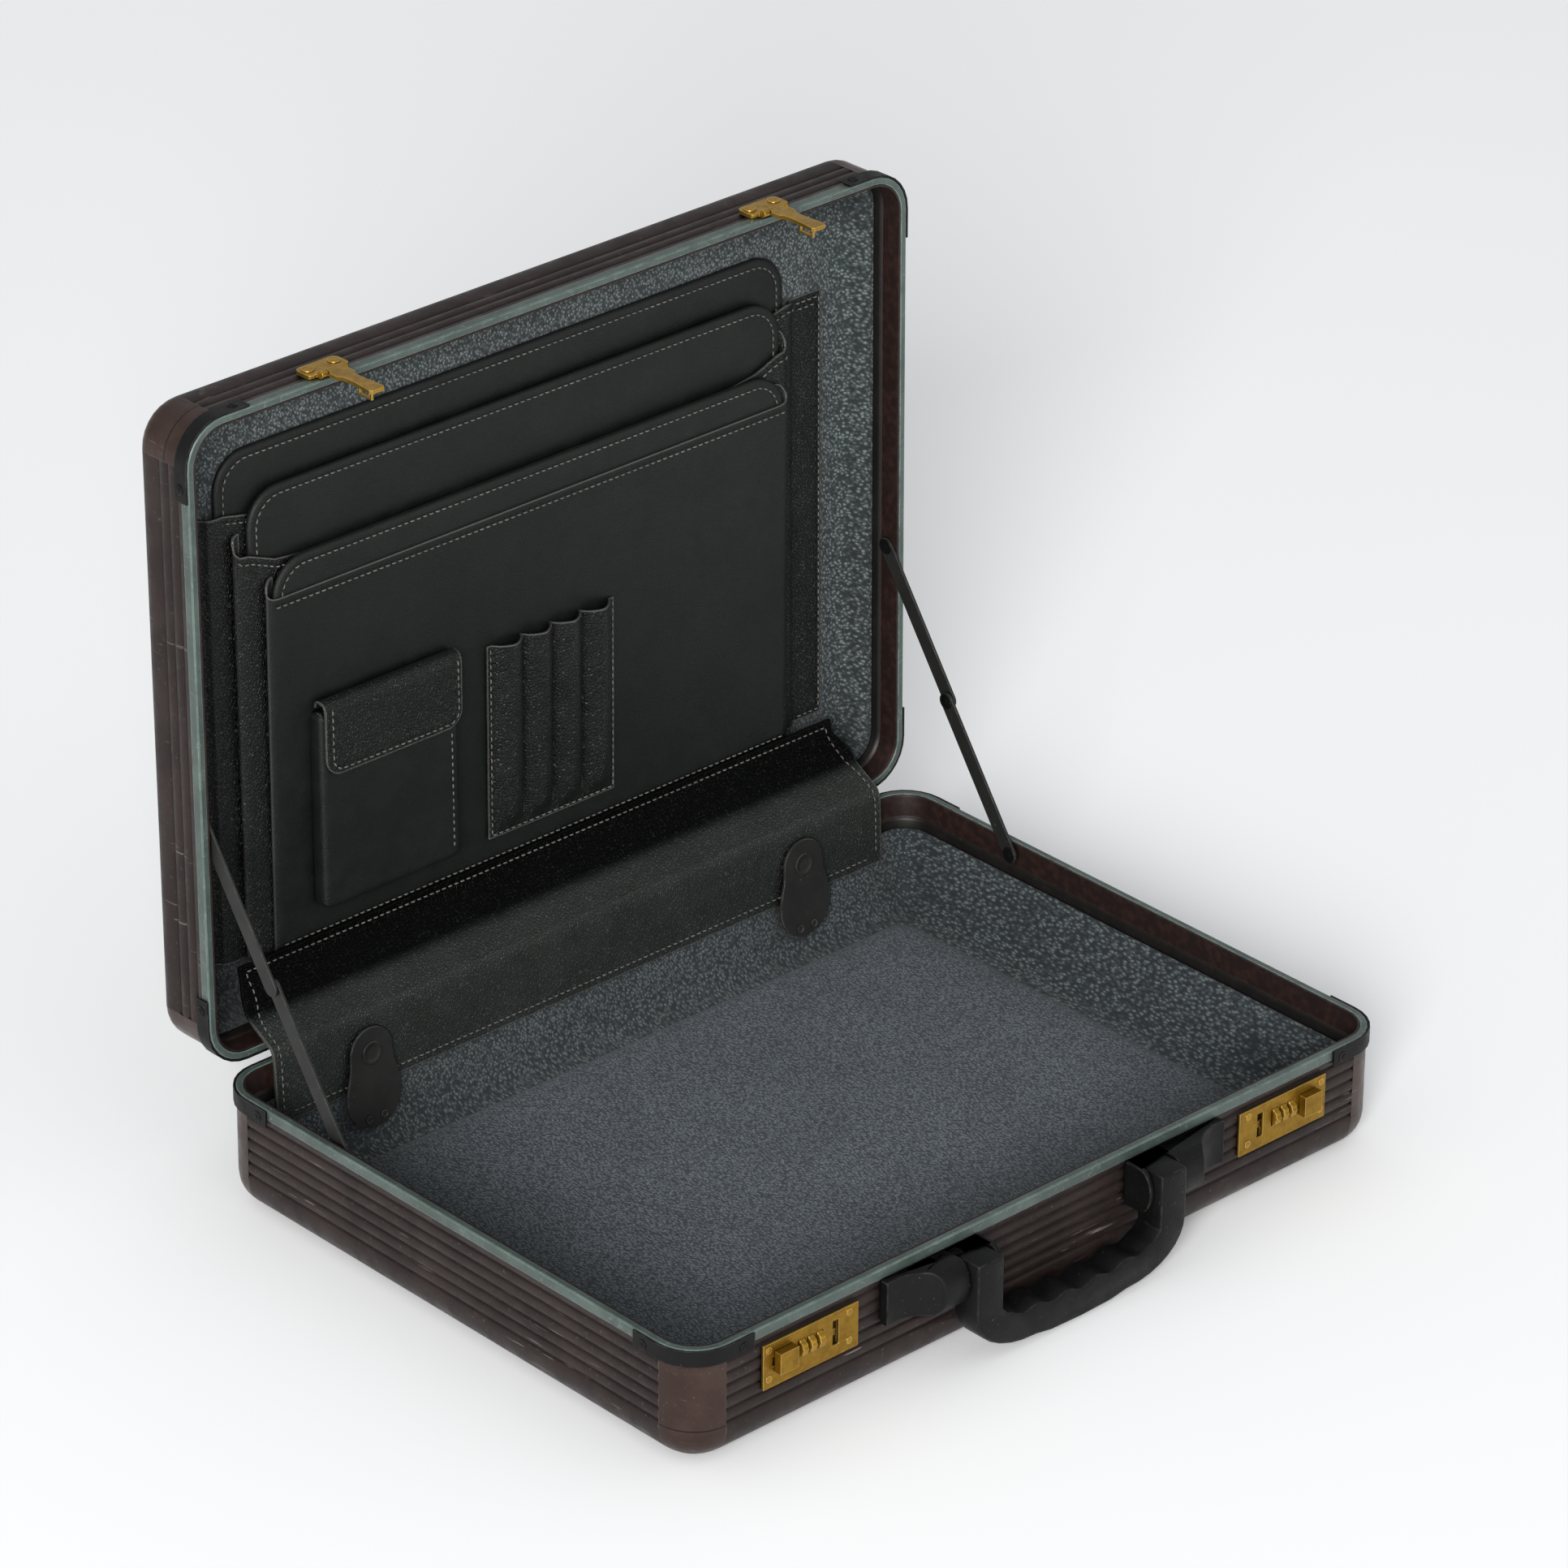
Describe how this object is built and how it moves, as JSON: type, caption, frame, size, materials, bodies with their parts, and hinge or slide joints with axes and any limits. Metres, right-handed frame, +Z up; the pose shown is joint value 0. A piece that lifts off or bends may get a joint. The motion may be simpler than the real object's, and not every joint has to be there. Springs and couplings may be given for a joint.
{
  "type": "attache case",
  "caption": "Ribbed aluminium attache case, open, with combination locks, hasps, folding stays, swinging handle and a lid organiser.",
  "frame": {"origin": "centre of the base's underside, on the surface that the case lies on", "axes": "+X to the right as seen from the handle side, -Y towards the handle, +Z up; the lid's hinge runs along X at the back"},
  "size_m": [0.4632, 0.4103, 0.4119],
  "materials": {
    "brown_aluminium": "dark brown, satin, weathered, with fine ribs",
    "rim_metal": "grey-green, satin, worn bright at its edges; dark brown inside",
    "black_metal": "charcoal, satin",
    "black_plastic": "charcoal moulded plastic, edges rubbed lighter",
    "brass": "golden, satin",
    "lining": "slate blue-grey pebbled cloth",
    "leather": "near-black, fine grain, grey stitching"
  },
  "bodies": {
    "base": {"base_panel": "brown_aluminium", "base_rail_front": "brown_aluminium", "base_rail_back": "brown_aluminium", "base_rail_left": "brown_aluminium", "base_rail_right": "brown_aluminium", "base_corner_front_left": "brown_aluminium", "base_corner_front_right": "brown_aluminium", "base_corner_back_left": "brown_aluminium", "base_corner_back_right": "brown_aluminium", "base_rim": "rim_metal", "base_bracket_front_left": "black_metal", "base_bracket_front_right": "black_metal", "base_bracket_back_left": "black_metal", "base_bracket_back_right": "black_metal", "base_lining": "lining", "lock_plate_left": "brass", "lock_plate_right": "brass", "handle_mount_left": "black_plastic", "handle_mount_right": "black_plastic", "base_hinge_leaf": "black_metal", "cover_tab_left": "black_plastic", "cover_tab_right": "black_plastic", "hinge_cover": "leather"},
    "lid": {"lid_panel": "brown_aluminium", "lid_rail_front": "brown_aluminium", "lid_rail_back": "brown_aluminium", "lid_rail_left": "brown_aluminium", "lid_rail_right": "brown_aluminium", "lid_corner_front_left": "brown_aluminium", "lid_corner_front_right": "brown_aluminium", "lid_corner_back_left": "brown_aluminium", "lid_corner_back_right": "brown_aluminium", "lid_rim": "rim_metal", "lid_bracket_front_left": "black_metal", "lid_bracket_front_right": "black_metal", "lid_bracket_back_left": "black_metal", "lid_bracket_back_right": "black_metal", "lid_lining": "lining", "hasp_base_left": "brass", "hasp_base_right": "brass", "lid_hinge_leaf": "black_metal", "pocket_back": "leather", "pocket_middle": "leather", "pocket_front": "leather"},
    "handle": {"handle_grip": "black_plastic"},
    "card_flap": {"card_flap": "leather"},
    "dial_left_1": {"dial_left_1": "brass"},
    "dial_left_2": {"dial_left_2": "brass"},
    "dial_left_3": {"dial_left_3": "brass"},
    "lock_button_left": {"lock_button_left": "brass"},
    "hasp_tongue_left": {"hasp_tongue_left": "brass"},
    "stay_lower_left": {"stay_lower_left": "black_metal"},
    "stay_upper_left": {"stay_upper_left": "black_metal"},
    "dial_right_1": {"dial_right_1": "brass"},
    "dial_right_2": {"dial_right_2": "brass"},
    "dial_right_3": {"dial_right_3": "brass"},
    "lock_button_right": {"lock_button_right": "brass"},
    "hasp_tongue_right": {"hasp_tongue_right": "brass"},
    "stay_lower_right": {"stay_lower_right": "black_metal"},
    "stay_upper_right": {"stay_upper_right": "black_metal"}
  },
  "joints": [
    {"name": "lid_hinge", "type": "hinge", "parent": "base", "child": "lid", "pos_m": [0, 0.1735, 0.0635], "axis": [-1, 0, 0], "range_deg": [-90.8, 0], "deforming": ["hinge_cover"]},
    {"name": "handle_swing", "type": "hinge", "parent": "base", "child": "handle", "pos_m": [0, -0.1842, 0.0475], "axis": [-1, 0, 0], "range_deg": [0, 100]},
    {"name": "card_flap_hinge", "type": "hinge", "parent": "lid", "child": "card_flap", "pos_m": [0, 0.19443, 0.23002], "axis": [-1, 0, 0], "range_deg": [0, 85]},
    {"name": "dial_left_1_spin", "type": "hinge", "parent": "base", "child": "dial_left_1", "pos_m": [-0.1513, -0.1699, 0.0426], "axis": [1, 0, 0], "continuous": true},
    {"name": "dial_left_2_spin", "type": "hinge", "parent": "base", "child": "dial_left_2", "pos_m": [-0.1568, -0.1699, 0.0426], "axis": [1, 0, 0], "continuous": true},
    {"name": "dial_left_3_spin", "type": "hinge", "parent": "base", "child": "dial_left_3", "pos_m": [-0.1623, -0.1699, 0.0426], "axis": [1, 0, 0], "continuous": true},
    {"name": "lock_button_left_slide", "type": "slide", "parent": "base", "child": "lock_button_left", "axis": [-1, 0, 0], "range_m": [0, 0.003], "stiffness_N_per_m": 300},
    {"name": "hasp_left_hinge", "type": "hinge", "parent": "lid", "child": "hasp_tongue_left", "pos_m": [-0.141, 0.17934, 0.40985], "axis": [-1, 0, 0], "range_deg": [0, 115]},
    {"name": "stay_lower_left_pivot", "type": "hinge", "parent": "base", "child": "stay_lower_left", "pos_m": [-0.2217, 0.0856, 0.0577], "axis": [-1, 0, 0], "range_deg": [-125.15, 0.5]},
    {"name": "stay_upper_left_pivot", "type": "hinge", "parent": "lid", "child": "stay_upper_left", "pos_m": [-0.2236, 0.18227, 0.19759], "axis": [-1, 0, 0], "range_deg": [-34.35, 0.5]},
    {"name": "dial_right_1_spin", "type": "hinge", "parent": "base", "child": "dial_right_1", "pos_m": [0.1513, -0.1699, 0.0426], "axis": [1, 0, 0], "continuous": true},
    {"name": "dial_right_2_spin", "type": "hinge", "parent": "base", "child": "dial_right_2", "pos_m": [0.1568, -0.1699, 0.0426], "axis": [1, 0, 0], "continuous": true},
    {"name": "dial_right_3_spin", "type": "hinge", "parent": "base", "child": "dial_right_3", "pos_m": [0.1623, -0.1699, 0.0426], "axis": [1, 0, 0], "continuous": true},
    {"name": "lock_button_right_slide", "type": "slide", "parent": "base", "child": "lock_button_right", "axis": [1, 0, 0], "range_m": [0, 0.003], "stiffness_N_per_m": 300},
    {"name": "hasp_right_hinge", "type": "hinge", "parent": "lid", "child": "hasp_tongue_right", "pos_m": [0.141, 0.17934, 0.40985], "axis": [-1, 0, 0], "range_deg": [0, 115]},
    {"name": "stay_lower_right_pivot", "type": "hinge", "parent": "base", "child": "stay_lower_right", "pos_m": [0.2217, 0.0856, 0.0577], "axis": [-1, 0, 0], "range_deg": [-125.15, 0.5]},
    {"name": "stay_upper_right_pivot", "type": "hinge", "parent": "lid", "child": "stay_upper_right", "pos_m": [0.2236, 0.18227, 0.19759], "axis": [-1, 0, 0], "range_deg": [-34.35, 0.5]}
  ],
  "couplings": [
    {"joint": "stay_lower_left_pivot", "follows": "lid_hinge", "ratio": 1.3728},
    {"joint": "stay_upper_left_pivot", "follows": "lid_hinge", "ratio": 0.37276},
    {"joint": "stay_lower_right_pivot", "follows": "lid_hinge", "ratio": 1.3728},
    {"joint": "stay_upper_right_pivot", "follows": "lid_hinge", "ratio": 0.37276}
  ]
}
